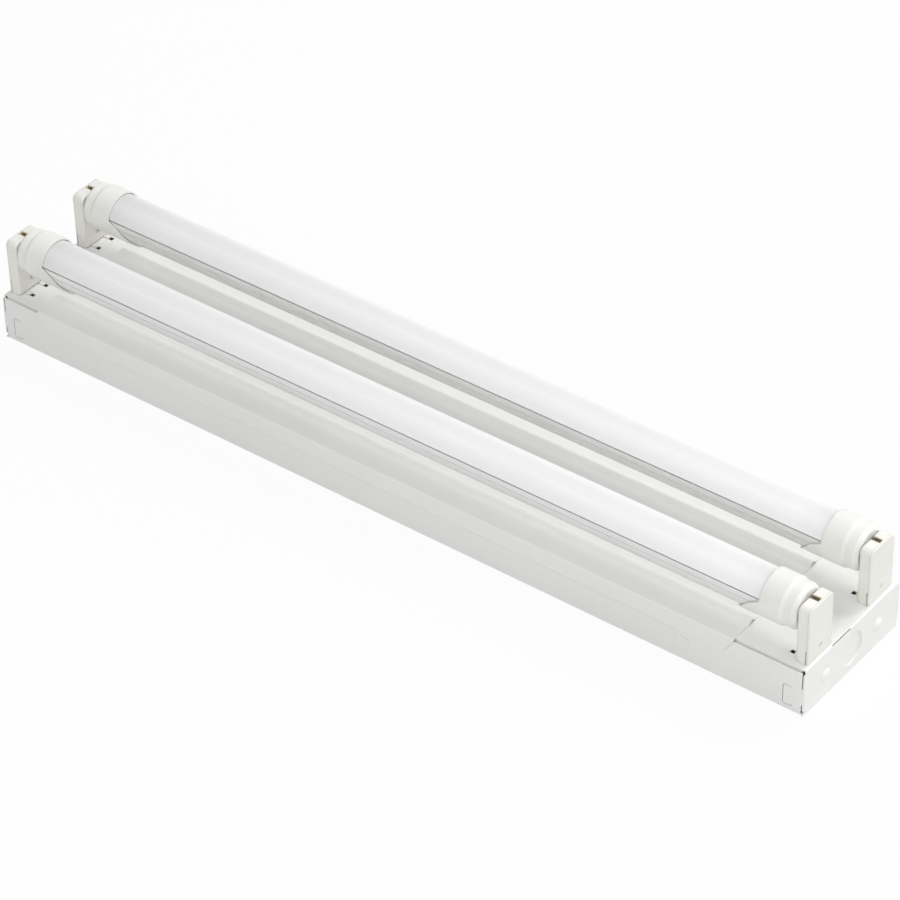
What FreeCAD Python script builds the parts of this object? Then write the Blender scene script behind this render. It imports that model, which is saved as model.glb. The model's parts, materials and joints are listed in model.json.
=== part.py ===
import FreeCAD, Part
import math
import os

from FreeCAD import Vector

# Two-lamp channel strip light, lying on its back with the lamps up. Millimetres.
# The origin is at the middle of the back face, X runs along the lamps, Y to the far lamp, Z to the lamps.

# Sheet metal
sheet = 0.8
bend_radius = 0.3
channel_width = 99.0
channel_height = 33.0
side_clearance = 0.9
wall_drop = 1.8

# Lamp: tube with a two-pin base at each end
lamp_length = 587.6
lamp_inset = 17.9
lamp_axis_rise = 30.6
tube_diameter = 28.0
tube_recess = 10.25
seam_rise = 2.8
seam_gap = 0.65
heat_sink_wall = 1.6
deck_top_rise = 0.8
deck_thickness = 1.3
lip_width = 2.0
rib_pitch_angle = 15.5
rib_groove_width = 1.0
rib_groove_depth = 0.5
diffuser_wall = 1.1
tongue_thickness = 0.7
tongue_clearance = 0.1

# Boards inside the lamp
board_width = 12.0
board_thickness = 1.2
board_end_gap = 6.0
chip_width = 2.8
chip_length = 3.5
chip_height = 0.7
chip_pitch = 18.0
driver_length = 120.0
driver_drop = 6.0
driver_clearance = 0.2
driver_part_count = 4
driver_part_length = 14.0
driver_part_width = 12.0
driver_part_height = 4.0

# Lamp end cap
cap_wall = 1.1
cap_clearance = 0.4
cap_neck_reduction = 1.0
cap_neck_length = 8.0
cap_shoulder_length = 1.8
cap_neck_wall = 1.3
cap_end_wall = 2.5
cap_end_bevel = 2.6
cap_rim_from_face = 23.4
cap_slant_run = 19.8
cap_bend_run_share = 0.38
cap_bend_drop_share = 0.23
pin_spacing = 12.7
pin_diameter = 2.35
pin_length = 6.6
pin_root = 6.0
pin_bevel = 0.5
hole_clearance = 0.05

# Lampholder
holder_width = 24.7
holder_depth = 7.3
holder_back_thickness = 1.1
holder_floor = 0.7
holder_corner_radius = 4.0
holder_edge_bevel = 1.0
holder_back_edge_bevel = 0.8
foot_gap_depth = 2.0
foot_gap_height = 0.8
holder_top_wall = 1.05
holder_setback = 1.0
end_play = 0.8
pin_clearance = 0.325
contact_thickness = 0.4
contact_gap = 0.1
contact_top_gap = 0.15
contact_inset = 1.4
contact_width = 5.0
contact_low_angle = -50.0
contact_foot_rise = 3.0
entry_width = 2.9
window_width = 3.2
window_height = 2.2
window_rise = 8.0
window_depth = 1.5
release_mark_height = 1.0
release_mark_tilt = 30.0
release_mark_depth = 0.5
side_gap_height = 10.0
side_gap_depth = 1.4
side_gap_width = 0.9
leg_offset = 6.3
leg_width = 2.6
leg_length = 6.0
leg_inset = 0.4
leg_drop = 3.7
leg_slide = 7.2
toe_length = 4.2
toe_rise = 0.4
hook_length = 1.6
leg_clearance = 0.2

# Channel details
lance_from_end = 11.0
lance_width = 6.5
lance_height = 15.0
lance_bottom = 3.5
lance_gap = 0.5
stamp_corner = 1.2
lance_hinge_height = 12.0
side_mark_from_end = 84.0
side_mark_width = 10.0
side_mark_height = 10.5
side_mark_bottom = 7.0
side_mark_gap = 0.3
side_mark_depth = 0.12
weld_from_end = 44.0
weld_rise = 15.0
weld_radius = 2.6
weld_depth = 0.25
tab_bottom = 8.0
tab_top = 20.0
tab_clearance = 0.1
corner_gap = 0.8
relief_radius = 1.4
relief_rise = 2.2
mount_spacing = 457.2
mount_hole_diameter = 6.5
knockout_diameter = 22.2
knockout_depth = 1.2

# End bracket
socket_plate_length = 72.0
saddle_depth = 20.0
saddle_setback = 2.0
corner_notch = 2.6
end_knockout_rise = 16.4
end_dimple_inset = 22.2
end_dimple_rise = 15.5
end_dimple_radius = 4.6
end_dimple_height = 2.0
slit_start = -20.7
slit_end = -2.0
slit_depth = 0.9
slit_drop = 1.4

# Cover
cover_clearance = 0.1
cover_lap_left = 41.2
cover_lap_right = 24.2
cover_flange = 11.8
cover_slant_run = 7.0
cover_slant_rise = 10.6
bead_half_width = 4.0
bead_height = 2.4

# Wiring inside the channel
lead_diameter = 1.8
lead_clearance = 0.2
lead_bend = 6.0
lead_entry = 5.0
lead_straight = 8.0
splice_mouth = 62.0
splice_length = 24.0
splice_mouth_radius = 7.0
splice_tip_radius = 4.5
splice_grip = 12.0
splice_lead_offset = 1.3
splice_mouth_band = 7.0
splice_side_count = 12
ground_screw_x = 80.0
ground_screw_inset = 11.5
ground_screw_diameter = 3.5
ground_head_width = 8.0
ground_head_height = 3.0

# Places that follow from the sizes above
lamp_face_x = lamp_length / 2
holder_face_x = lamp_face_x + end_play
holder_split_x = holder_face_x + holder_depth
holder_back_x = holder_split_x + holder_back_thickness
plate_inside_x = holder_back_x + holder_setback
plate_outside_x = plate_inside_x + sheet
socket_edge_x = plate_outside_x - socket_plate_length
half_channel = channel_width / 2
wall_top_z = channel_height - wall_drop
lamp_offset = half_channel - lamp_inset
half_plate = half_channel - sheet - side_clearance
lamp_axis_z = channel_height + lamp_axis_rise
lamp_places = {"near": -lamp_offset, "far": lamp_offset}
end_sides = {"left": -1, "right": 1}
tube_radius = tube_diameter / 2
tube_end_x = lamp_face_x - tube_recess
cavity_radius = tube_radius - heat_sink_wall
deck_bottom_rise = deck_top_rise - deck_thickness
lip_outside = math.sqrt(tube_radius ** 2 - seam_rise ** 2)
lip_inside = lip_outside - lip_width
pin_radius = pin_diameter / 2
pin_circle = pin_spacing / 2
contact_inner_radius = pin_circle + pin_radius + pin_clearance
contact_outer_radius = contact_inner_radius + contact_thickness
groove_outer_radius = contact_outer_radius + contact_gap
groove_inner_radius = pin_circle - pin_radius - pin_clearance
groove_floor_x = holder_split_x - holder_floor
holder_top_z = lamp_axis_z + groove_outer_radius + holder_top_wall
contact_start_x = holder_face_x + contact_inset
contact_foot_z = channel_height + contact_foot_rise
contact_tail_y = contact_inner_radius * math.cos(math.radians(contact_low_angle))
leg_start_x = holder_face_x + leg_inset
leg_end_x = leg_start_x + leg_length
leg_bottom_z = channel_height - sheet - leg_drop
lead_radius = lead_diameter / 2
lead_leg_x = (leg_start_x + leg_end_x) / 2
ground_screw_y = half_channel - ground_screw_inset
splice_axis_z = sheet + lead_clearance + splice_mouth_radius


def box(low_x, high_x, low_y, high_y, low_z, high_z):
    """A block between six planes."""
    corner = Vector(low_x, low_y, low_z)
    return Part.makeBox(high_x - low_x, high_y - low_y, high_z - low_z, corner)


def rod(radius, start, end):
    """A round bar from one point to another."""
    along = end - start
    return Part.makeCylinder(radius, along.Length, start, along)


def placer(axis, level):
    """Turns a drawing's two coordinates into a point on the plane square to an axis."""
    if axis == "X":
        return lambda a, b: Vector(level, a, b)
    if axis == "Y":
        return lambda a, b: Vector(a, level, b)
    return lambda a, b: Vector(a, b, level)


def unit(start, end):
    """Direction from one point of a drawing to another."""
    length = math.hypot(end[0] - start[0], end[1] - start[1])
    return (end[0] - start[0]) / length, (end[1] - start[1]) / length


def outline(points, radii, place, flat_corners=False):
    """A closed wire of straight sides whose corners are rounded, or cut flat, to the given radii."""
    entries = []
    exits = []
    edges = []
    for index, corner in enumerate(points):
        back = unit(corner, points[index - 1])
        ahead = unit(corner, points[(index + 1) % len(points)])
        radius = radii[index]
        if radius == 0:
            entries.append(corner)
            exits.append(corner)
            continue
        half_angle = math.acos(back[0] * ahead[0] + back[1] * ahead[1]) / 2
        reach = radius / math.tan(half_angle)
        entry = (corner[0] + back[0] * reach, corner[1] + back[1] * reach)
        leave = (corner[0] + ahead[0] * reach, corner[1] + ahead[1] * reach)
        inward = unit((0, 0), (back[0] + ahead[0], back[1] + ahead[1]))
        depth = radius / math.sin(half_angle) - radius
        middle = (corner[0] + inward[0] * depth, corner[1] + inward[1] * depth)
        if flat_corners:
            edges.append(Part.LineSegment(place(*entry), place(*leave)).toShape())
        else:
            edges.append(Part.Arc(place(*entry), place(*middle), place(*leave)).toShape())
        entries.append(entry)
        exits.append(leave)
    for index, start in enumerate(exits):
        end = entries[(index + 1) % len(entries)]
        edges.append(Part.LineSegment(place(*start), place(*end)).toShape())
    return Part.Wire(Part.__sortEdges__(edges))


def prism(points, radii, axis, start, end, flat_corners=False):
    """A drawing with rounded or flat corners, drawn square to an axis and pulled along it."""
    face = Part.Face(outline(points, radii, placer(axis, start), flat_corners))
    return face.extrude(placer(axis, end)(0, 0) - placer(axis, start)(0, 0))


def rectangle(low_a, high_a, low_b, high_b):
    """The corners of an upright rectangle, in order."""
    return [(low_a, low_b), (high_a, low_b), (high_a, high_b), (low_a, high_b)]


def bent_sheet(path, axis, start, end):
    """Sheet metal folded along a path of outside corners, with its thickness to the left of the path."""
    directions = [unit(first, second) for first, second in zip(path, path[1:])]
    inner = []
    outer_radii = []
    inner_radii = []
    for index, corner in enumerate(path):
        before = directions[max(index - 1, 0)]
        after = directions[min(index, len(directions) - 1)]
        share = 1 + before[0] * after[0] + before[1] * after[1]
        shift = (-(before[1] + after[1]) / share, (before[0] + after[0]) / share)
        inner.append((corner[0] + shift[0] * sheet, corner[1] + shift[1] * sheet))
        turn = before[0] * after[1] - before[1] * after[0]
        is_end = index in (0, len(path) - 1)
        wide = bend_radius + sheet
        outer_radii.append(0 if is_end else wide if turn > 0 else bend_radius)
        inner_radii.append(0 if is_end else bend_radius if turn > 0 else wide)
    return prism(path + inner[::-1], outer_radii + inner_radii[::-1], axis, start, end)


def stamped_frame(points, gap, start_y, end_y):
    """A thin closed frame just inside an upright rectangle, for cutting its outline into a wall."""
    (low_x, low_z), _, (high_x, high_z), _ = points
    inside = rectangle(low_x + gap, high_x - gap, low_z + gap, high_z - gap)
    frame = prism(points, [stamp_corner] * 4, "Y", start_y, end_y, flat_corners=True)
    return frame.cut(prism(inside, [stamp_corner - gap] * 4, "Y", start_y, end_y, flat_corners=True))


def dome_radius(base_radius, height):
    """Radius of the ball whose cap has this base and height."""
    return (base_radius ** 2 + height ** 2) / (2 * height)


def bevelled_face(shape, level_x, lowest_z, bevel):
    """Bevels the rim of the flat face at one X, apart from its straight foot."""
    rim = []
    for edge in shape.Edges:
        on_face = all(abs(vertex.X - level_x) < 1e-6 for vertex in edge.Vertexes)
        on_foot = all(abs(vertex.Z - lowest_z) < 1e-6 for vertex in edge.Vertexes)
        if on_face and not on_foot:
            rim.append(edge)
    return shape.makeChamfer(bevel, rim)


def mirrored(shape):
    """The same piece for the other end of the light."""
    return shape.mirror(Vector(0, 0, 0), Vector(1, 0, 0))


def both_ends(shape):
    """A cutter or boss and its copy at the other end."""
    return [shape, mirrored(shape)]


def weld_balls():
    """Balls that press the weld dimples into the outside of both walls."""
    ball_radius = dome_radius(weld_radius, weld_depth)
    reach = half_channel + ball_radius - weld_depth
    weld_x = plate_outside_x - weld_from_end
    balls = []
    for y in (-reach, reach):
        balls += both_ends(Part.makeSphere(ball_radius, Vector(weld_x, y, weld_rise)))
    return balls


def knockout(centre, outward):
    """The boss and the recess of a knockout, pressed in from a plate's outer face at its centre."""
    radius = knockout_diameter / 2
    inner = centre - outward * sheet
    boss = rod(radius + sheet, inner - outward * knockout_depth, inner)
    return boss, rod(radius, centre - outward * knockout_depth, centre)


def channel():
    """Folded trough: the back and both side walls."""
    wall_path = [(-half_channel, wall_top_z), (-half_channel, 0)]
    wall_path += [(half_channel, 0), (half_channel, wall_top_z)]
    body = bent_sheet(wall_path, "X", -plate_inside_x, plate_inside_x)
    tabs = []
    for low_y in (-half_channel, half_channel - sheet):
        tab = box(plate_inside_x, plate_outside_x, low_y, low_y + sheet, tab_bottom, tab_top)
        tabs += both_ends(tab)
    back_boss, back_recess = knockout(Vector(0, 0, 0), Vector(0, 0, -1))
    body = body.fuse(tabs + [back_boss])

    cuts = weld_balls()
    for low_y in (-half_channel, half_channel - sheet):
        for low_z, high_z in ((relief_rise, tab_bottom), (tab_top, wall_top_z)):
            gap_start = plate_inside_x - corner_gap
            gap = box(gap_start, plate_inside_x, low_y, low_y + sheet, low_z, high_z)
            cuts += both_ends(gap)
    for side in (-1, 1):
        lance_x = side * (plate_outside_x - lance_from_end)
        low_x = lance_x - lance_width / 2
        high_x = lance_x + lance_width / 2
        frame = rectangle(low_x, high_x, lance_bottom, lance_bottom + lance_height)
        lance = stamped_frame(frame, lance_gap, -channel_width, channel_width)
        hinge_bottom = lance_bottom + (lance_height - lance_hinge_height) / 2
        hinge_top = hinge_bottom + lance_hinge_height
        hinge = box(lance_x, high_x, -channel_width, channel_width, hinge_bottom, hinge_top)
        cuts.append(lance.cut(hinge))
        mark_x = side * (plate_outside_x - side_mark_from_end)
        mark_top = side_mark_bottom + side_mark_height
        mark_half = side_mark_width / 2
        mark = rectangle(mark_x - mark_half, mark_x + mark_half, side_mark_bottom, mark_top)
        for wall in (-1, 1):
            outside = wall * (half_channel + sheet)
            inside = wall * (half_channel - side_mark_depth)
            low_y, high_y = min(outside, inside), max(outside, inside)
            cuts.append(stamped_frame(mark, side_mark_gap, low_y, high_y))
        relief_start = Vector(side * plate_inside_x, -channel_width, relief_rise)
        relief_end = Vector(side * plate_inside_x, channel_width, relief_rise)
        cuts.append(rod(relief_radius, relief_start, relief_end))
        mount_low = Vector(side * mount_spacing / 2, 0, 0)
        cuts.append(rod(mount_hole_diameter / 2, mount_low, mount_low + Vector(0, 0, sheet)))
    cuts.append(back_recess)
    ground_low = Vector(ground_screw_x, ground_screw_y, 0)
    ground_hole_radius = ground_screw_diameter / 2 + hole_clearance
    cuts.append(rod(ground_hole_radius, ground_low, ground_low + Vector(0, 0, sheet)))
    return body.cut(cuts).removeSplitter()


def end_bracket():
    """Right end plate, folded over at the top into the plate that carries the lampholders."""
    fold = [(plate_outside_x, 0), (plate_outside_x, channel_height), (socket_edge_x, channel_height)]
    folded = bent_sheet(fold, "Y", -half_plate, half_plate)
    saddle_bottom = channel_height - saddle_depth
    saddle_path = [(half_plate, saddle_bottom), (half_plate, channel_height)]
    saddle_path += [(-half_plate, channel_height), (-half_plate, saddle_bottom)]
    saddle = bent_sheet(saddle_path, "X", socket_edge_x, plate_inside_x - saddle_setback)
    wing_top = channel_height - corner_notch
    wings = box(plate_inside_x, plate_outside_x, -half_channel, half_channel, 0, wing_top)
    bracket = folded.fuse([saddle, wings])

    dimple_ball = dome_radius(end_dimple_radius, end_dimple_height)
    dimple_x = plate_outside_x + end_dimple_height - dimple_ball
    dome_end = plate_outside_x + end_dimple_height
    outside = box(plate_inside_x, dome_end, -half_channel, half_channel, 0, channel_height)
    cuts = []
    domes = []
    dimple_y = half_channel - end_dimple_inset
    for y in (-dimple_y, dimple_y):
        centre = Vector(dimple_x, y, end_dimple_rise)
        domes.append(Part.makeSphere(dimple_ball, centre).common(outside))
        cuts.append(Part.makeSphere(dimple_ball - sheet, centre))
    boss, recess = knockout(Vector(plate_outside_x, 0, end_knockout_rise), Vector(1, 0, 0))
    bracket = bracket.fuse(domes + [boss])
    cuts.append(recess)
    slit_low_x = plate_outside_x - slit_depth
    slit_bottom = channel_height - slit_drop
    cuts.append(box(slit_low_x, plate_outside_x, slit_start, slit_end, slit_bottom, channel_height))
    for wall in (-1, 1):
        edge = wall * half_channel
        notch_y = sorted((edge - wall * (sheet + tab_clearance), edge + wall * sheet))
        notch_low = tab_bottom - tab_clearance
        notch_high = tab_top + tab_clearance
        cuts.append(box(plate_inside_x, plate_outside_x, *notch_y, notch_low, notch_high))
        relief = Vector(plate_inside_x, edge, relief_rise)
        cuts.append(rod(relief_radius, relief, relief + Vector(sheet, 0, 0)))
    for lamp_y in lamp_places.values():
        for leg_side in (-1, 1):
            slot_y = lamp_y + leg_side * leg_offset
            slot_half = leg_width / 2 + leg_clearance
            slot_low = leg_start_x - leg_slide
            slot_high = leg_end_x + leg_clearance
            slot_bottom = channel_height - sheet
            low_y, high_y = slot_y - slot_half, slot_y + slot_half
            cuts.append(box(slot_low, slot_high, low_y, high_y, slot_bottom, channel_height))
    return bracket.cut(cuts).removeSplitter()


def channel_cover():
    """Loose lid that sits on the walls, with a stiffening bead under each lamp."""
    half_width = half_channel + bend_radius + cover_clearance + sheet
    top = channel_height + sheet
    flange_bottom = top - cover_flange
    path = [(half_width, flange_bottom), (half_width, top)]
    for lamp_y in sorted(lamp_places.values(), reverse=True):
        path += [(lamp_y + bead_half_width, top), (lamp_y, top + bead_height)]
        path += [(lamp_y - bead_half_width, top)]
    path += [(-half_width, top), (-half_width, flange_bottom)]
    low_x = -socket_edge_x - cover_lap_left
    high_x = socket_edge_x + cover_lap_right
    cover = bent_sheet(path, "X", low_x, high_x)
    cuts = []
    for end_x, inward in ((low_x, 1), (high_x, -1)):
        corner = (end_x, flange_bottom)
        along = (end_x + inward * cover_slant_run, flange_bottom)
        above = (end_x, flange_bottom + cover_slant_rise)
        cuts.append(prism([corner, along, above], [0, 0, 0], "Y", -half_width, half_width))
    return cover.cut(cuts)


def holder_plate(start_x, end_x):
    """A slice of the lampholder's outline, about Y = 0."""
    half = holder_width / 2
    points = rectangle(-half, half, channel_height, holder_top_z)
    return prism(points, [0, 0, holder_corner_radius, holder_corner_radius], "X", start_x, end_x)


def lampholder():
    """Right-hand lampholder body: entry slot from the top, turning groove, two hooked legs with toes."""
    block = holder_plate(holder_face_x, holder_split_x)
    body = bevelled_face(block, holder_face_x, channel_height, holder_edge_bevel)
    half = holder_width / 2
    gap_end_x = holder_face_x + foot_gap_depth
    foot_top = channel_height + foot_gap_height
    body = body.cut(box(holder_face_x, gap_end_x, -half, half, channel_height, foot_top))
    legs = []
    for side in (-1, 1):
        low_y = side * leg_offset - leg_width / 2
        high_y = side * leg_offset + leg_width / 2
        legs.append(box(leg_start_x, leg_end_x, low_y, high_y, leg_bottom_z, channel_height))
        toe_bottom = channel_height - sheet
        toe_top = channel_height + toe_rise
        legs.append(box(leg_start_x - toe_length, leg_start_x, low_y, high_y, toe_bottom, toe_top))
        hook_top = channel_height - sheet - leg_clearance
        legs.append(box(leg_end_x, leg_end_x + hook_length, low_y, high_y, leg_bottom_z, hook_top))
    body = body.fuse(legs)

    mouth = Vector(holder_face_x, 0, lamp_axis_z)
    floor = Vector(groove_floor_x, 0, lamp_axis_z)
    groove = rod(groove_outer_radius, mouth, floor).cut(rod(groove_inner_radius, mouth, floor))
    slot_half = entry_width / 2 + contact_thickness + contact_gap
    slot_bottom = lamp_axis_z - pin_circle
    slot = box(holder_face_x, groove_floor_x, -slot_half, slot_half, slot_bottom, holder_top_z)
    window_low = channel_height + window_rise - window_height / 2
    window_high = window_low + window_height
    window_half = window_width / 2
    window_end = holder_face_x + window_depth
    window = box(holder_face_x, window_end, -window_half, window_half, window_low, window_high)
    cuts = [groove, slot, window]
    for side in (-1, 1):
        tail_inside = side * (contact_tail_y - contact_gap)
        tail_outside = side * (contact_tail_y + contact_thickness + contact_gap)
        tail_y = sorted((tail_inside, tail_outside))
        tail_start = contact_start_x - contact_gap
        tail_bottom = contact_foot_z - contact_gap
        cuts.append(box(tail_start, holder_split_x, *tail_y, tail_bottom, lamp_axis_z))
        gap_y = sorted((side * (half - side_gap_depth), side * half))
        gap_top = channel_height + side_gap_height
        cuts.append(box(holder_split_x - side_gap_width, holder_split_x, *gap_y, channel_height, gap_top))
        entry_half = lead_radius + lead_clearance / 2
        entry_y = side * leg_offset
        entry_top = leg_bottom_z + lead_entry + lead_clearance
        entry_x = (lead_leg_x - entry_half, lead_leg_x + entry_half)
        cuts.append(box(*entry_x, entry_y - entry_half, entry_y + entry_half, leg_bottom_z, entry_top))
    return body.cut(cuts)


def lampholder_back():
    """Back cover of a right-hand lampholder."""
    block = holder_plate(holder_split_x, holder_back_x)
    plate = bevelled_face(block, holder_back_x, channel_height, holder_back_edge_bevel)
    mark_z = channel_height + window_rise
    half_long = window_width / 2
    mark_low = mark_z - release_mark_height / 2
    mark_high = mark_z + release_mark_height / 2
    mark_start = holder_back_x - release_mark_depth
    mark = box(mark_start, holder_back_x, -half_long, half_long, mark_low, mark_high)
    mark.rotate(Vector(0, 0, mark_z), Vector(1, 0, 0), release_mark_tilt)
    return plate.cut(mark)


def lampholder_contacts():
    """The copper pair of a right-hand lampholder, lining the groove and the entry slot."""
    end_x = contact_start_x + contact_width
    front = Vector(contact_start_x, 0, lamp_axis_z)
    back = Vector(end_x, 0, lamp_axis_z)
    ring = rod(contact_outer_radius, front, back).cut(rod(contact_inner_radius, front, back))
    leg_inside = entry_width / 2
    leg_outside = leg_inside + contact_thickness
    low_z = lamp_axis_z + contact_outer_radius * math.sin(math.radians(contact_low_angle))
    arc_space = box(contact_start_x, end_x, leg_inside, groove_outer_radius, low_z, holder_top_z)
    leg_bottom = lamp_axis_z + math.sqrt(contact_inner_radius ** 2 - leg_inside ** 2)
    leg_top = holder_top_z - contact_top_gap
    leg = box(contact_start_x, end_x, leg_inside, leg_outside, leg_bottom, leg_top)
    tail_end = contact_tail_y + contact_thickness
    tail_top = lamp_axis_z - math.sqrt(contact_outer_radius ** 2 - tail_end ** 2)
    tail = box(contact_start_x, end_x, contact_tail_y, tail_end, contact_foot_z, tail_top)
    contact = ring.common(arc_space).fuse([leg, tail]).removeSplitter()
    return [contact, contact.mirror(Vector(0, 0, 0), Vector(0, 1, 0))]


def disc(radius):
    """A round face about the lamp's axis, at the tube's left end."""
    circle = Part.makeCircle(radius, Vector(-tube_end_x, 0, 0), Vector(1, 0, 0))
    return Part.Face(Part.Wire(circle))


def plate_face(low_y, high_y, low_z, high_z):
    """An upright rectangle at the tube's left end."""
    return Part.Face(outline(rectangle(low_y, high_y, low_z, high_z), [0] * 4, placer("X", -tube_end_x)))


def pulled(face):
    """A section of the tube, pulled along its whole length."""
    return face.extrude(Vector(2 * tube_end_x, 0, 0))


def rib_groove(angle):
    """The section of one fine groove in the heat sink, at an angle round the lamp."""
    wide = rib_groove_width / 2
    narrow = rib_groove_width / 4
    low = tube_radius - rib_groove_depth
    high = tube_radius + rib_groove_depth
    points = [(high, -wide), (high, wide), (low, narrow), (low, -narrow)]
    face = Part.Face(outline(points, [0] * 4, placer("X", -tube_end_x)))
    face.rotate(Vector(0, 0, 0), Vector(1, 0, 0), angle)
    return face


def heat_sink():
    """Ribbed aluminium extrusion: the lower part of the tube, with an LED deck and sloping lips."""
    below_seam = plate_face(-tube_diameter, tube_diameter, -tube_diameter, seam_rise)
    trough = plate_face(-lip_inside, lip_inside, deck_top_rise, tube_diameter)
    below_deck = plate_face(-tube_diameter, tube_diameter, -tube_diameter, deck_bottom_rise)
    section = disc(tube_radius).common(below_seam).cut([trough, disc(cavity_radius).common(below_deck)])
    slope = [(lip_inside, deck_top_rise), (lip_outside, seam_rise), (lip_inside, seam_rise)]
    lip_slope = Part.Face(outline(slope, [0] * 3, placer("X", -tube_end_x)))
    section = section.cut([lip_slope, lip_slope.mirror(Vector(0, 0, 0), Vector(0, 1, 0))])
    seam_angle = math.degrees(math.asin(seam_rise / tube_radius))
    ribbed_angle = 180 + 2 * seam_angle - 2 * rib_pitch_angle
    rib_count = int(ribbed_angle // rib_pitch_angle) + 1
    first_angle = -90 - rib_pitch_angle * (rib_count - 1) / 2
    grooves = [rib_groove(first_angle + index * rib_pitch_angle) for index in range(rib_count)]
    return pulled(section.cut(grooves))


def diffuser():
    """Frosted upper shell, standing on the heat sink's deck inside its lips."""
    shell_bottom = seam_rise + seam_gap
    above_seam = plate_face(-tube_diameter, tube_diameter, shell_bottom, tube_diameter)
    section = disc(tube_radius).cut(disc(tube_radius - diffuser_wall)).common(above_seam)
    tongue_outside = lip_inside - tongue_clearance
    tongue_inside = tongue_outside - tongue_thickness
    ledge_top = shell_bottom + tongue_thickness
    ledge_end = math.sqrt(tube_radius ** 2 - ledge_top ** 2) - diffuser_wall / 2
    tongues = [plate_face(tongue_inside, tongue_outside, deck_top_rise, ledge_top)]
    tongues.append(plate_face(tongue_inside, ledge_end, shell_bottom, ledge_top))
    tongues += [face.mirror(Vector(0, 0, 0), Vector(0, 1, 0)) for face in tongues]
    return pulled(section).fuse([pulled(tongue) for tongue in tongues]).removeSplitter()


def led_board():
    """Strip of circuit board on the heat sink's deck."""
    half_length = tube_end_x - board_end_gap
    half_width = board_width / 2
    board_top = deck_top_rise + board_thickness
    return box(-half_length, half_length, -half_width, half_width, deck_top_rise, board_top)


def led_chips():
    """The row of LEDs along the board."""
    board_top = deck_top_rise + board_thickness
    count = int((2 * (tube_end_x - board_end_gap) - chip_length) // chip_pitch) + 1
    first_x = -chip_pitch * (count - 1) / 2
    chips = []
    for index in range(count):
        low_x = first_x + index * chip_pitch - chip_length / 2
        top = board_top + chip_height
        chips.append(box(low_x, low_x + chip_length, -chip_width / 2, chip_width / 2, board_top, top))
    return Part.makeCompound(chips)


def driver_board():
    """Driver circuit lying in the heat sink's hollow, with its tall components."""
    end_x = tube_end_x - board_end_gap
    start_x = end_x - driver_length
    half_width = math.sqrt(cavity_radius ** 2 - driver_drop ** 2) - driver_clearance
    board_top = board_thickness - driver_drop
    part_top = board_top + driver_part_height
    half_long = driver_part_length / 2
    half_wide = driver_part_width / 2
    pieces = []
    for index in range(driver_part_count):
        middle_x = start_x + (index + 1 / 2) * driver_length / driver_part_count
        low_x, high_x = middle_x - half_long, middle_x + half_long
        pieces.append(box(low_x, high_x, -half_wide, half_wide, board_top, part_top))
    return box(start_x, end_x, -half_width, half_width, -driver_drop, board_top).fuse(pieces)


def end_cap():
    """Right-hand lamp cap: sleeve cut on a bent slant under the heat sink, shoulder and neck."""
    bore_radius = tube_radius + cap_clearance
    sleeve_radius = bore_radius + cap_wall
    neck_radius = sleeve_radius - cap_neck_reduction
    hollow_radius = neck_radius - cap_neck_wall
    rim_x = lamp_face_x - cap_rim_from_face
    tip_x = rim_x - cap_slant_run
    shoulder_end = lamp_face_x - cap_neck_length
    shoulder_start = shoulder_end - cap_shoulder_length
    bore_end = tube_end_x + cap_clearance
    wall_start = lamp_face_x - cap_end_wall
    half_section = [(tip_x, bore_radius), (tip_x, sleeve_radius), (shoulder_start, sleeve_radius)]
    half_section += [(shoulder_end, neck_radius), (lamp_face_x - cap_end_bevel, neck_radius)]
    half_section += [(lamp_face_x, neck_radius - cap_end_bevel), (lamp_face_x, 0)]
    half_section += [(wall_start, 0), (wall_start, hollow_radius)]
    half_section += [(bore_end, hollow_radius), (bore_end, bore_radius)]
    face = Part.Face(outline(half_section, [0] * len(half_section), placer("Y", 0)))
    cap = face.revolve(Vector(0, 0, 0), Vector(1, 0, 0), 360)

    above = sleeve_radius + cap_wall
    bend_x = rim_x - cap_slant_run * cap_bend_run_share
    bend_z = seam_rise - (seam_rise + sleeve_radius) * cap_bend_drop_share
    over_diffuser = [(tip_x, above), (tip_x, -sleeve_radius), (bend_x, bend_z)]
    over_diffuser += [(rim_x, seam_rise), (rim_x, above)]
    cuts = [prism(over_diffuser, [0] * len(over_diffuser), "Y", -above, above)]
    for side in (-1, 1):
        start = Vector(wall_start, side * pin_circle, 0)
        cuts.append(rod(pin_radius + hole_clearance, start, start + Vector(cap_end_wall, 0, 0)))
    return cap.cut(cuts)


def cap_pins():
    """The two pins of a right-hand cap, with bevelled tips."""
    pins = []
    for side in (-1, 1):
        start = Vector(lamp_face_x - pin_root, side * pin_circle, 0)
        shoulder = Vector(lamp_face_x + pin_length - pin_bevel, side * pin_circle, 0)
        tip = Part.makeCone(pin_radius, pin_radius - pin_bevel, pin_bevel, shoulder, Vector(1, 0, 0))
        pins.append(rod(pin_radius, start, shoulder).fuse(tip))
    return pins


def lead(lamp_side):
    """One insulated wire from a right-hand lampholder to the splice on its side of the middle."""
    leg_y = lamp_side * (lamp_offset - leg_offset)
    splice_y = lamp_side * splice_lead_offset
    top = Vector(lead_leg_x, leg_y, leg_bottom_z + lead_entry)
    corner = Vector(lead_leg_x, leg_y, splice_axis_z)
    mouth = Vector(splice_mouth + lead_straight, splice_y, splice_axis_z)
    end = Vector(splice_mouth - splice_grip, splice_y, splice_axis_z)
    along = (mouth - corner).normalize()
    bend_start = corner + Vector(0, 0, lead_bend)
    bend_end = corner + along * lead_bend
    path = Part.makePolygon([top, bend_start, bend_end, mouth, end])
    section = Part.Wire(Part.makeCircle(lead_radius, top, Vector(0, 0, 1)))
    right_corners = 1
    return path.makePipeShell([section], True, False, right_corners)


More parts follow.
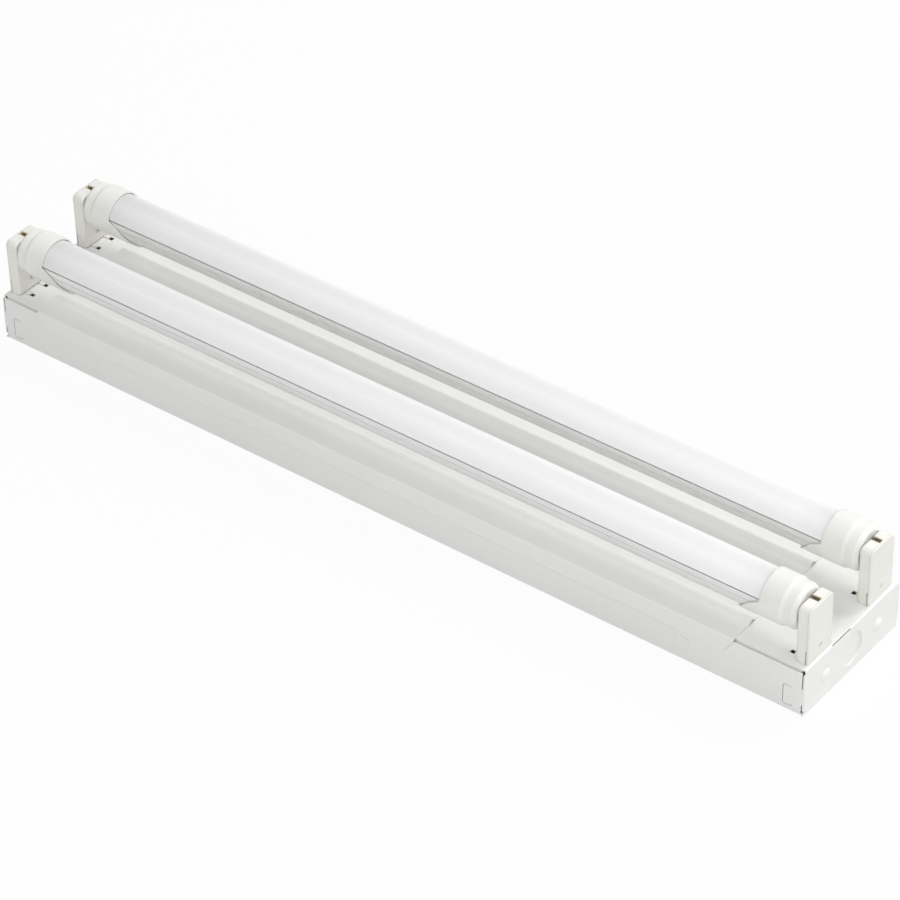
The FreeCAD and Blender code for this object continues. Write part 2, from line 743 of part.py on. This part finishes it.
def polygon_face(corner_radius, corner_count, centre, axis):
    """A regular polygon about a centre, square to an axis."""
    place = placer(axis, 0)
    corners = []
    for index in range(corner_count + 1):
        angle = 2 * math.pi * index / corner_count
        corners.append(centre + place(corner_radius * math.cos(angle), corner_radius * math.sin(angle)))
    return Part.Face(Part.makePolygon(corners))


def wire_connector():
    """Fluted twist-on splice on the right of the middle, mouth towards the right end."""
    tip = Vector(splice_mouth - splice_length, 0, splice_axis_z)
    band = Vector(splice_mouth - splice_mouth_band, 0, splice_axis_z)
    mouth = Vector(splice_mouth, 0, splice_axis_z)
    tip_face = polygon_face(splice_tip_radius, splice_side_count, tip, "X")
    band_face = polygon_face(splice_mouth_radius, splice_side_count, band, "X")
    taper = Part.makeLoft([tip_face.OuterWire, band_face.OuterWire], True, True)
    grip = Vector(splice_mouth - splice_grip - lead_clearance, 0, splice_axis_z)
    hollow = rod(splice_lead_offset + lead_radius + lead_clearance, grip, mouth)
    return taper.fuse(band_face.extrude(mouth - band)).removeSplitter().cut(hollow)


def ground_screw():
    """Hexagon-headed grounding screw in the back of the channel."""
    foot = Vector(ground_screw_x, ground_screw_y, 0)
    seat = foot + Vector(0, 0, sheet)
    head = polygon_face(ground_head_width / math.sqrt(3), 6, seat, "Z")
    head = head.extrude(Vector(0, 0, ground_head_height))
    return head.fuse(rod(ground_screw_diameter / 2, foot, seat)).removeSplitter()


def moved(shape, y, z):
    """A copy shifted across the light."""
    copy = shape.copy()
    copy.translate(Vector(0, y, z))
    return copy


def at_end(shape, end):
    """A right-hand piece, or its mirror image at the left end."""
    return shape if end_sides[end] > 0 else mirrored(shape)


def lamp_pieces():
    """Every piece of a lamp, about its own axis."""
    pins = cap_pins()
    pins += [mirrored(pin) for pin in pins]
    return {
        "diffuser": diffuser(),
        "heat_sink": heat_sink(),
        "led_board": led_board(),
        "led_chips": led_chips(),
        "driver_board": driver_board(),
        "caps": Part.makeCompound(both_ends(end_cap())),
        "pins": Part.makeCompound(pins),
    }


def all_pieces():
    """Every node of the light, by name."""
    bracket = end_bracket()
    leads = [lead(-1), lead(1)]
    nodes = {
        "channel": channel(),
        "channel_cover": channel_cover(),
        "ground_screw": ground_screw(),
        "wire_connectors": Part.makeCompound(both_ends(wire_connector())),
        "line_leads": Part.makeCompound([mirrored(wire) for wire in leads]),
        "neutral_leads": Part.makeCompound(leads),
    }
    holder = lampholder()
    holder_back = lampholder_back()
    contact_pair = lampholder_contacts()
    contacts = []
    for end in end_sides:
        nodes["end_bracket_" + end] = at_end(bracket, end)
        for place, lamp_y in lamp_places.items():
            nodes[f"lampholder_{place}_{end}"] = moved(at_end(holder, end), lamp_y, 0)
            nodes[f"lampholder_back_{place}_{end}"] = moved(at_end(holder_back, end), lamp_y, 0)
            contacts += [moved(at_end(contact, end), lamp_y, 0) for contact in contact_pair]
    nodes["lampholder_contacts"] = Part.makeCompound(contacts)
    for name, shape in lamp_pieces().items():
        for place, lamp_y in lamp_places.items():
            nodes[f"lamp_{place}_{name}"] = moved(shape, lamp_y, lamp_axis_z)
    return nodes


os.makedirs("parts", exist_ok=True)
for node_name, node_shape in all_pieces().items():
    node_shape.exportStep(os.path.join("parts", node_name + ".step"))
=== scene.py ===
import json
import math

import bpy
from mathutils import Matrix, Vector


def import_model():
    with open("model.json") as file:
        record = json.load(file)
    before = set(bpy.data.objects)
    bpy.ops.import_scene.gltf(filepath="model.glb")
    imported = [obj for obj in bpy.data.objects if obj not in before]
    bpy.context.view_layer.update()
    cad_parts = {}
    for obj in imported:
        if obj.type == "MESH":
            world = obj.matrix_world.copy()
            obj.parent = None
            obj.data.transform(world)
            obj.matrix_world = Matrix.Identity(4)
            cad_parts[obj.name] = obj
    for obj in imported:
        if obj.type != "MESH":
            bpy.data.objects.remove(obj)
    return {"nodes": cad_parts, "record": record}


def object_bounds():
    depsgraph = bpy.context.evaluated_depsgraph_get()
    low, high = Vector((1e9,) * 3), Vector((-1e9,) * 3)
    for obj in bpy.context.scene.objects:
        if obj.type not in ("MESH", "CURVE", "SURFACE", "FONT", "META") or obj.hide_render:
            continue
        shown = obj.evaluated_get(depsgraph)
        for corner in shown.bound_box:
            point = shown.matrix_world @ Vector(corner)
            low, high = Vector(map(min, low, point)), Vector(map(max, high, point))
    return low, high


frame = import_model()
cad_low, cad_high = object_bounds()

# Camera at the photograph's viewing angle: metres, degrees, and millimetres for the sensor and lens
CAMERA_PLACE = (1.1826, -1.4807, 1.5254)
CAMERA_TURN = (51.491, 1.021, 37.429)
CAMERA_REACH = 50.0
SENSOR_WIDTH = 36.0
LENS = 159.08

# Even light from all round, and soft square lights by place, width and power, in metres and watts
WORLD_LEVEL = 0.35
SOFT_LIGHTS = {
    "end": ((2.4, 0.2, 1.5), 1.4, 15.2),
    "back": ((0.5, 1.4, 2.4), 1.0, 18.2),
    "front": ((0.6, -1.8, 1.9), 1.8, 27.5),
    "backdrop": ((0.7, 1.9, 1.7), 2.2, 25.5),
}

# Floor: half its width and its drop in metres, its grey, and how much of it glows where it is seen
FLOOR_HALF = 6.0
FLOOR_DROP = 0.0002
FLOOR_GREY = 0.8
FLOOR_GLOW_SHARE = 0.93

# Noise: how many finer layers it has, and the two values that most of it lies between
NOISE_DETAIL = 3.0
NOISE_LOW = 0.3
NOISE_HIGH = 0.7

# Edges that look slightly rounded, in metres
EDGE_SOFTENING = 0.0002
THIN_EDGE = EDGE_SOFTENING / 2
MOULDED_EDGE = 0.0011
BEVEL_SAMPLES = 6

# Sizes of surface detail, in metres
PLASTIC_CLOUD = 0.018
PLASTIC_GLOSS_PATCH = 0.004
MOULD_GRAIN = 0.0005
ENAMEL_CLOUD = 0.09
ENAMEL_GLOSS_PATCH = 0.012
PAINT_PEEL = 0.0016
DRAW_LINE_WIDTH = 0.0003
TUBE_GRAIN = 0.002
TUBE_FROST = 0.0004

# Scale of detail along each axis: a small number draws it out along X
EVEN = (1, 1, 1)
DRAWN_METAL = (0.01, 1, 1)
DRAWN_TUBE = (0.03, 1, 1)

# Strength and depth of fine relief, the depth in metres
MOULD_RELIEF = (0.12, 0.00005)
PEEL_RELIEF = (0.1, 0.00006)
DRAW_RELIEF = (0.08, 0.00003)
FROST_RELIEF = (0.05, 0.00003)

# Gloss of the enamel and the milky tube, and how much of a metal the satin aluminium is
ENAMEL_ROUGHNESS = (0.36, 0.48)
ENAMEL_SPECULAR = 0.4
TUBE_ROUGHNESS = (0.3, 0.38)
TUBE_SPECULAR = 0.25
SATIN_METAL_SHARE = 0.4

# Colours of the milky tube, and painted shade on it along X and Z, in metres: greyer at its ends and crown,
# most at the left end
MILK_DARK = (0.96, 0.962, 0.965)
MILK_LIGHT = (0.98, 0.982, 0.985)
# Painted shade: the tube's colour is darker towards its ends, most at the left end
TUBE_PAINTED_SHADE_ALONG_X = (
    (-0.2704, 0.8), (-0.262, 0.87), (-0.23, 0.93), (-0.1, 0.97), (0.1, 0.99), (0.25, 1.0), (0.2704, 0.93))
# Painted shade: the tube's colour is darker along its crown
TUBE_PAINTED_SHADE_ALONG_Z = ((0.06, 1.0), (0.0695, 1.0), (0.0733, 0.99), (0.0758, 0.96), (0.0777, 0.83))


def empty_material(name):
    """A node material that has only its output."""
    material = bpy.data.materials.new(name)
    material.use_nodes = True
    tree = material.node_tree
    tree.nodes.clear()
    output = tree.nodes.new("ShaderNodeOutputMaterial")
    return material, tree, output


def new_material(name):
    """A node material with its Principled shader wired to the output."""
    material, tree, output = empty_material(name)
    shader = tree.nodes.new("ShaderNodeBsdfPrincipled")
    tree.links.new(shader.outputs["BSDF"], output.inputs["Surface"])
    return material, tree, shader


def noise(tree, size, stretch=EVEN):
    """Noise whose features are about one size across, in the object's own metres."""
    place = tree.nodes.new("ShaderNodeTexCoord")
    mapping = tree.nodes.new("ShaderNodeMapping")
    mapping.inputs["Scale"].default_value = stretch
    texture = tree.nodes.new("ShaderNodeTexNoise")
    texture.inputs["Scale"].default_value = 1 / size
    texture.inputs["Detail"].default_value = NOISE_DETAIL
    tree.links.new(place.outputs["Object"], mapping.inputs["Vector"])
    tree.links.new(mapping.outputs["Vector"], texture.inputs["Vector"])
    return texture.outputs["Fac"]


def spread(tree, value, low, high):
    """A noise value stretched between two numbers."""
    node = tree.nodes.new("ShaderNodeMapRange")
    node.inputs["From Min"].default_value = NOISE_LOW
    node.inputs["From Max"].default_value = NOISE_HIGH
    node.inputs["To Min"].default_value = low
    node.inputs["To Max"].default_value = high
    tree.links.new(value, node.inputs["Value"])
    return node.outputs["Result"]


def tinted(tree, value, dark, light):
    """A colour between two, chosen by a noise value."""
    ramp = tree.nodes.new("ShaderNodeValToRGB")
    first, last = ramp.color_ramp.elements
    first.position = NOISE_LOW
    first.color = (*dark, 1)
    last.position = NOISE_HIGH
    last.color = (*light, 1)
    tree.links.new(value, ramp.inputs["Fac"])
    return ramp.outputs["Color"]


def shade_along(tree, axis, stops):
    """A grey that changes along one axis, given as places and levels from the lowest place up."""
    low, high = stops[0][0], stops[-1][0]
    place = tree.nodes.new("ShaderNodeTexCoord")
    split = tree.nodes.new("ShaderNodeSeparateXYZ")
    share = tree.nodes.new("ShaderNodeMapRange")
    share.inputs["From Min"].default_value = low
    share.inputs["From Max"].default_value = high
    ramp = tree.nodes.new("ShaderNodeValToRGB")
    elements = ramp.color_ramp.elements
    for spot, _ in stops[1:-1]:
        elements.new((spot - low) / (high - low))
    for element, (_, level) in zip(elements, stops):
        element.color = (level, level, level, 1)
    tree.links.new(place.outputs["Object"], split.inputs["Vector"])
    tree.links.new(split.outputs[axis], share.inputs["Value"])
    tree.links.new(share.outputs["Result"], ramp.inputs["Fac"])
    return ramp.outputs["Color"]


def multiplied(tree, first, second):
    """The product of two colours."""
    node = tree.nodes.new("ShaderNodeMix")
    node.data_type = "RGBA"
    node.blend_type = "MULTIPLY"
    node.inputs["Factor"].default_value = 1.0
    colours = [socket for socket in node.inputs if socket.type == "RGBA"]
    tree.links.new(first, colours[0])
    tree.links.new(second, colours[1])
    return [socket for socket in node.outputs if socket.type == "RGBA"][0]


def soft_bump(tree, shader, height, relief, edge=EDGE_SOFTENING):
    """Fine relief on top of slightly rounded edges."""
    strength, depth = relief
    bevel = tree.nodes.new("ShaderNodeBevel")
    bevel.samples = BEVEL_SAMPLES
    bevel.inputs["Radius"].default_value = edge
    bump = tree.nodes.new("ShaderNodeBump")
    bump.inputs["Strength"].default_value = strength
    bump.inputs["Distance"].default_value = depth
    tree.links.new(height, bump.inputs["Height"])
    tree.links.new(bevel.outputs["Normal"], bump.inputs["Normal"])
    tree.links.new(bump.outputs["Normal"], shader.inputs["Normal"])


def plastic(name, dark, light, roughness, edge=EDGE_SOFTENING):
    """Moulded plastic: a faint cloud of tone, fine grain and uneven gloss."""
    material, tree, shader = new_material(name)
    tree.links.new(tinted(tree, noise(tree, PLASTIC_CLOUD), dark, light), shader.inputs["Base Color"])
    tree.links.new(spread(tree, noise(tree, PLASTIC_GLOSS_PATCH), *roughness), shader.inputs["Roughness"])
    soft_bump(tree, shader, noise(tree, MOULD_GRAIN), MOULD_RELIEF, edge)
    return material


def enamel(name, dark, light):
    """Baked enamel on sheet steel: orange peel, soft sheen and a little unevenness of tone."""
    material, tree, shader = new_material(name)
    tree.links.new(tinted(tree, noise(tree, ENAMEL_CLOUD), dark, light), shader.inputs["Base Color"])
    gloss = spread(tree, noise(tree, ENAMEL_GLOSS_PATCH), *ENAMEL_ROUGHNESS)
    tree.links.new(gloss, shader.inputs["Roughness"])
    soft_bump(tree, shader, noise(tree, PAINT_PEEL), PEEL_RELIEF)
    shader.inputs["Specular IOR Level"].default_value = ENAMEL_SPECULAR
    return material


def metal(name, dark, light, roughness, metallic=1.0):
    """Drawn or extruded metal with fine lines along X."""
    material, tree, shader = new_material(name)
    lines = noise(tree, DRAW_LINE_WIDTH, DRAWN_METAL)
    tree.links.new(tinted(tree, lines, dark, light), shader.inputs["Base Color"])
    tree.links.new(spread(tree, lines, *roughness), shader.inputs["Roughness"])
    soft_bump(tree, shader, lines, DRAW_RELIEF, THIN_EDGE)
    shader.inputs["Metallic"].default_value = metallic
    return material


def frosted(name):
    """Milky extruded tube, with a faint drawn grain along its length and painted shade: greyer towards its
    ends and along its crown.
    """
    material, tree, shader = new_material(name)
    grain = noise(tree, TUBE_GRAIN, DRAWN_TUBE)
    milk_and_painted_shade = tinted(tree, grain, MILK_DARK, MILK_LIGHT)
    # Painted shade along X: darker towards the tube's ends, most at the left end
    milk_and_painted_shade = multiplied(tree, milk_and_painted_shade, shade_along(tree, "X", TUBE_PAINTED_SHADE_ALONG_X))
    # Painted shade along Z: darker along the tube's crown
    milk_and_painted_shade = multiplied(tree, milk_and_painted_shade, shade_along(tree, "Z", TUBE_PAINTED_SHADE_ALONG_Z))
    tree.links.new(milk_and_painted_shade, shader.inputs["Base Color"])
    tree.links.new(spread(tree, grain, *TUBE_ROUGHNESS), shader.inputs["Roughness"])
    soft_bump(tree, shader, noise(tree, TUBE_FROST), FROST_RELIEF, THIN_EDGE)
    shader.inputs["Specular IOR Level"].default_value = TUBE_SPECULAR
    return material


# Each slot's material: darkest and lightest colour, range of roughness, then the edge or the share of metal
slot_materials = {
    "white_steel": enamel("white_enamel", (0.845, 0.845, 0.83), (0.87, 0.87, 0.855)),
    "holder_plastic": plastic(
        "holder_plastic", (0.825, 0.818, 0.772), (0.855, 0.848, 0.802), (0.3, 0.42), MOULDED_EDGE),
    "cap_plastic": plastic(
        "cap_plastic", (0.818, 0.813, 0.783), (0.848, 0.843, 0.813), (0.34, 0.46), MOULDED_EDGE),
    "diffuser": frosted("frosted_tube"),
    "heat_sink": metal(
        "satin_aluminium", (0.725, 0.73, 0.72), (0.82, 0.825, 0.815), (0.42, 0.56), SATIN_METAL_SHARE),
    "contact_brass": metal("contact_brass", (0.62, 0.51, 0.31), (0.78, 0.66, 0.43), (0.25, 0.4)),
    "pins": metal("pin_plating", (0.66, 0.63, 0.55), (0.78, 0.75, 0.66), (0.22, 0.34)),
    "led_board": plastic("board_resist", (0.87, 0.88, 0.87), (0.91, 0.92, 0.91), (0.35, 0.5)),
    "led_chips": plastic("phosphor_gel", (0.86, 0.74, 0.3), (0.92, 0.82, 0.4), (0.2, 0.3)),
    "driver_board": plastic("circuit_board", (0.08, 0.26, 0.12), (0.13, 0.34, 0.17), (0.35, 0.5)),
    "line_insulation": plastic("black_insulation", (0.03, 0.03, 0.03), (0.055, 0.055, 0.055), (0.4, 0.5)),
    "neutral_insulation": plastic("white_insulation", (0.84, 0.84, 0.82), (0.88, 0.88, 0.86), (0.4, 0.5)),
    "splice_plastic": plastic("splice_shell", (0.78, 0.38, 0.07), (0.86, 0.46, 0.1), (0.35, 0.45)),
    "ground_screw": plastic("green_coating", (0.07, 0.34, 0.14), (0.1, 0.42, 0.18), (0.3, 0.4)),
}
for subpart in frame["record"]["subparts"]:
    slots = frame["nodes"][subpart["node"]].data.materials
    slots.clear()
    slots.append(slot_materials[subpart["material_slot"]])


def light_path_seen(tree):
    """1 where the camera sees a surface directly, in a reflection or through glass."""
    path = tree.nodes.new("ShaderNodeLightPath")
    seen = path.outputs["Is Camera Ray"]
    for name in ("Is Glossy Ray", "Is Transmission Ray"):
        larger = tree.nodes.new("ShaderNodeMath")
        larger.operation = "MAXIMUM"
        tree.links.new(seen, larger.inputs[0])
        tree.links.new(path.outputs[name], larger.inputs[1])
        seen = larger.outputs["Value"]
    return seen


def floor():
    """A wide pale floor that looks almost white and keeps a faint shadow."""
    mesh = bpy.data.meshes.new("floor")
    turns = ((-1, -1), (1, -1), (1, 1), (-1, 1))
    corners = [(x * FLOOR_HALF, y * FLOOR_HALF, 0) for x, y in turns]
    mesh.from_pydata(corners, [], [(0, 1, 2, 3)])
    plane = bpy.data.objects.new("floor", mesh)
    plane.location.z = cad_low.z - FLOOR_DROP
    bpy.context.scene.collection.objects.link(plane)
    material, tree, output = empty_material("pale_floor")
    diffuse = tree.nodes.new("ShaderNodeBsdfDiffuse")
    diffuse.inputs["Color"].default_value = (FLOOR_GREY, FLOOR_GREY, FLOOR_GREY, 1)
    glow = tree.nodes.new("ShaderNodeEmission")
    share = tree.nodes.new("ShaderNodeMath")
    share.operation = "MULTIPLY"
    share.inputs[1].default_value = FLOOR_GLOW_SHARE
    mix = tree.nodes.new("ShaderNodeMixShader")
    tree.links.new(light_path_seen(tree), share.inputs[0])
    tree.links.new(share.outputs["Value"], mix.inputs["Fac"])
    tree.links.new(diffuse.outputs["BSDF"], mix.inputs[1])
    tree.links.new(glow.outputs["Emission"], mix.inputs[2])
    tree.links.new(mix.outputs["Shader"], output.inputs["Surface"])
    mesh.materials.append(material)


def world():
    """Even studio light from all round, white where the camera sees it."""
    studio = bpy.data.worlds.new("studio")
    studio.use_nodes = True
    tree = studio.node_tree
    background = tree.nodes["Background"]
    level = tree.nodes.new("ShaderNodeMapRange")
    level.inputs["To Min"].default_value = WORLD_LEVEL
    level.inputs["To Max"].default_value = 1.0
    tree.links.new(light_path_seen(tree), level.inputs["Value"])
    tree.links.new(level.outputs["Result"], background.inputs["Strength"])
    background.inputs["Color"].default_value = (1, 1, 1, 1)
    bpy.context.scene.world = studio


def softbox(name, place, width, power):
    """A square soft light aimed at the middle of the object."""
    data = bpy.data.lights.new(name, "AREA")
    data.shape = "SQUARE"
    data.size = width
    data.energy = power
    light = bpy.data.objects.new(name, data)
    light.location = place
    light.rotation_euler = (-Vector(place)).to_track_quat("-Z", "Y").to_euler()
    bpy.context.scene.collection.objects.link(light)


def camera():
    """The photograph's camera."""
    data = bpy.data.cameras.new("camera")
    data.sensor_width = SENSOR_WIDTH
    data.lens = LENS
    data.clip_end = CAMERA_REACH
    view = bpy.data.objects.new("camera", data)
    view.location = CAMERA_PLACE
    view.rotation_euler = [math.radians(angle) for angle in CAMERA_TURN]
    bpy.context.scene.collection.objects.link(view)
    bpy.context.scene.camera = view


floor()
world()
for name, (place, width, power) in SOFT_LIGHTS.items():
    softbox(name, place, width, power)
camera()
bpy.context.scene.view_settings.view_transform = "Standard"
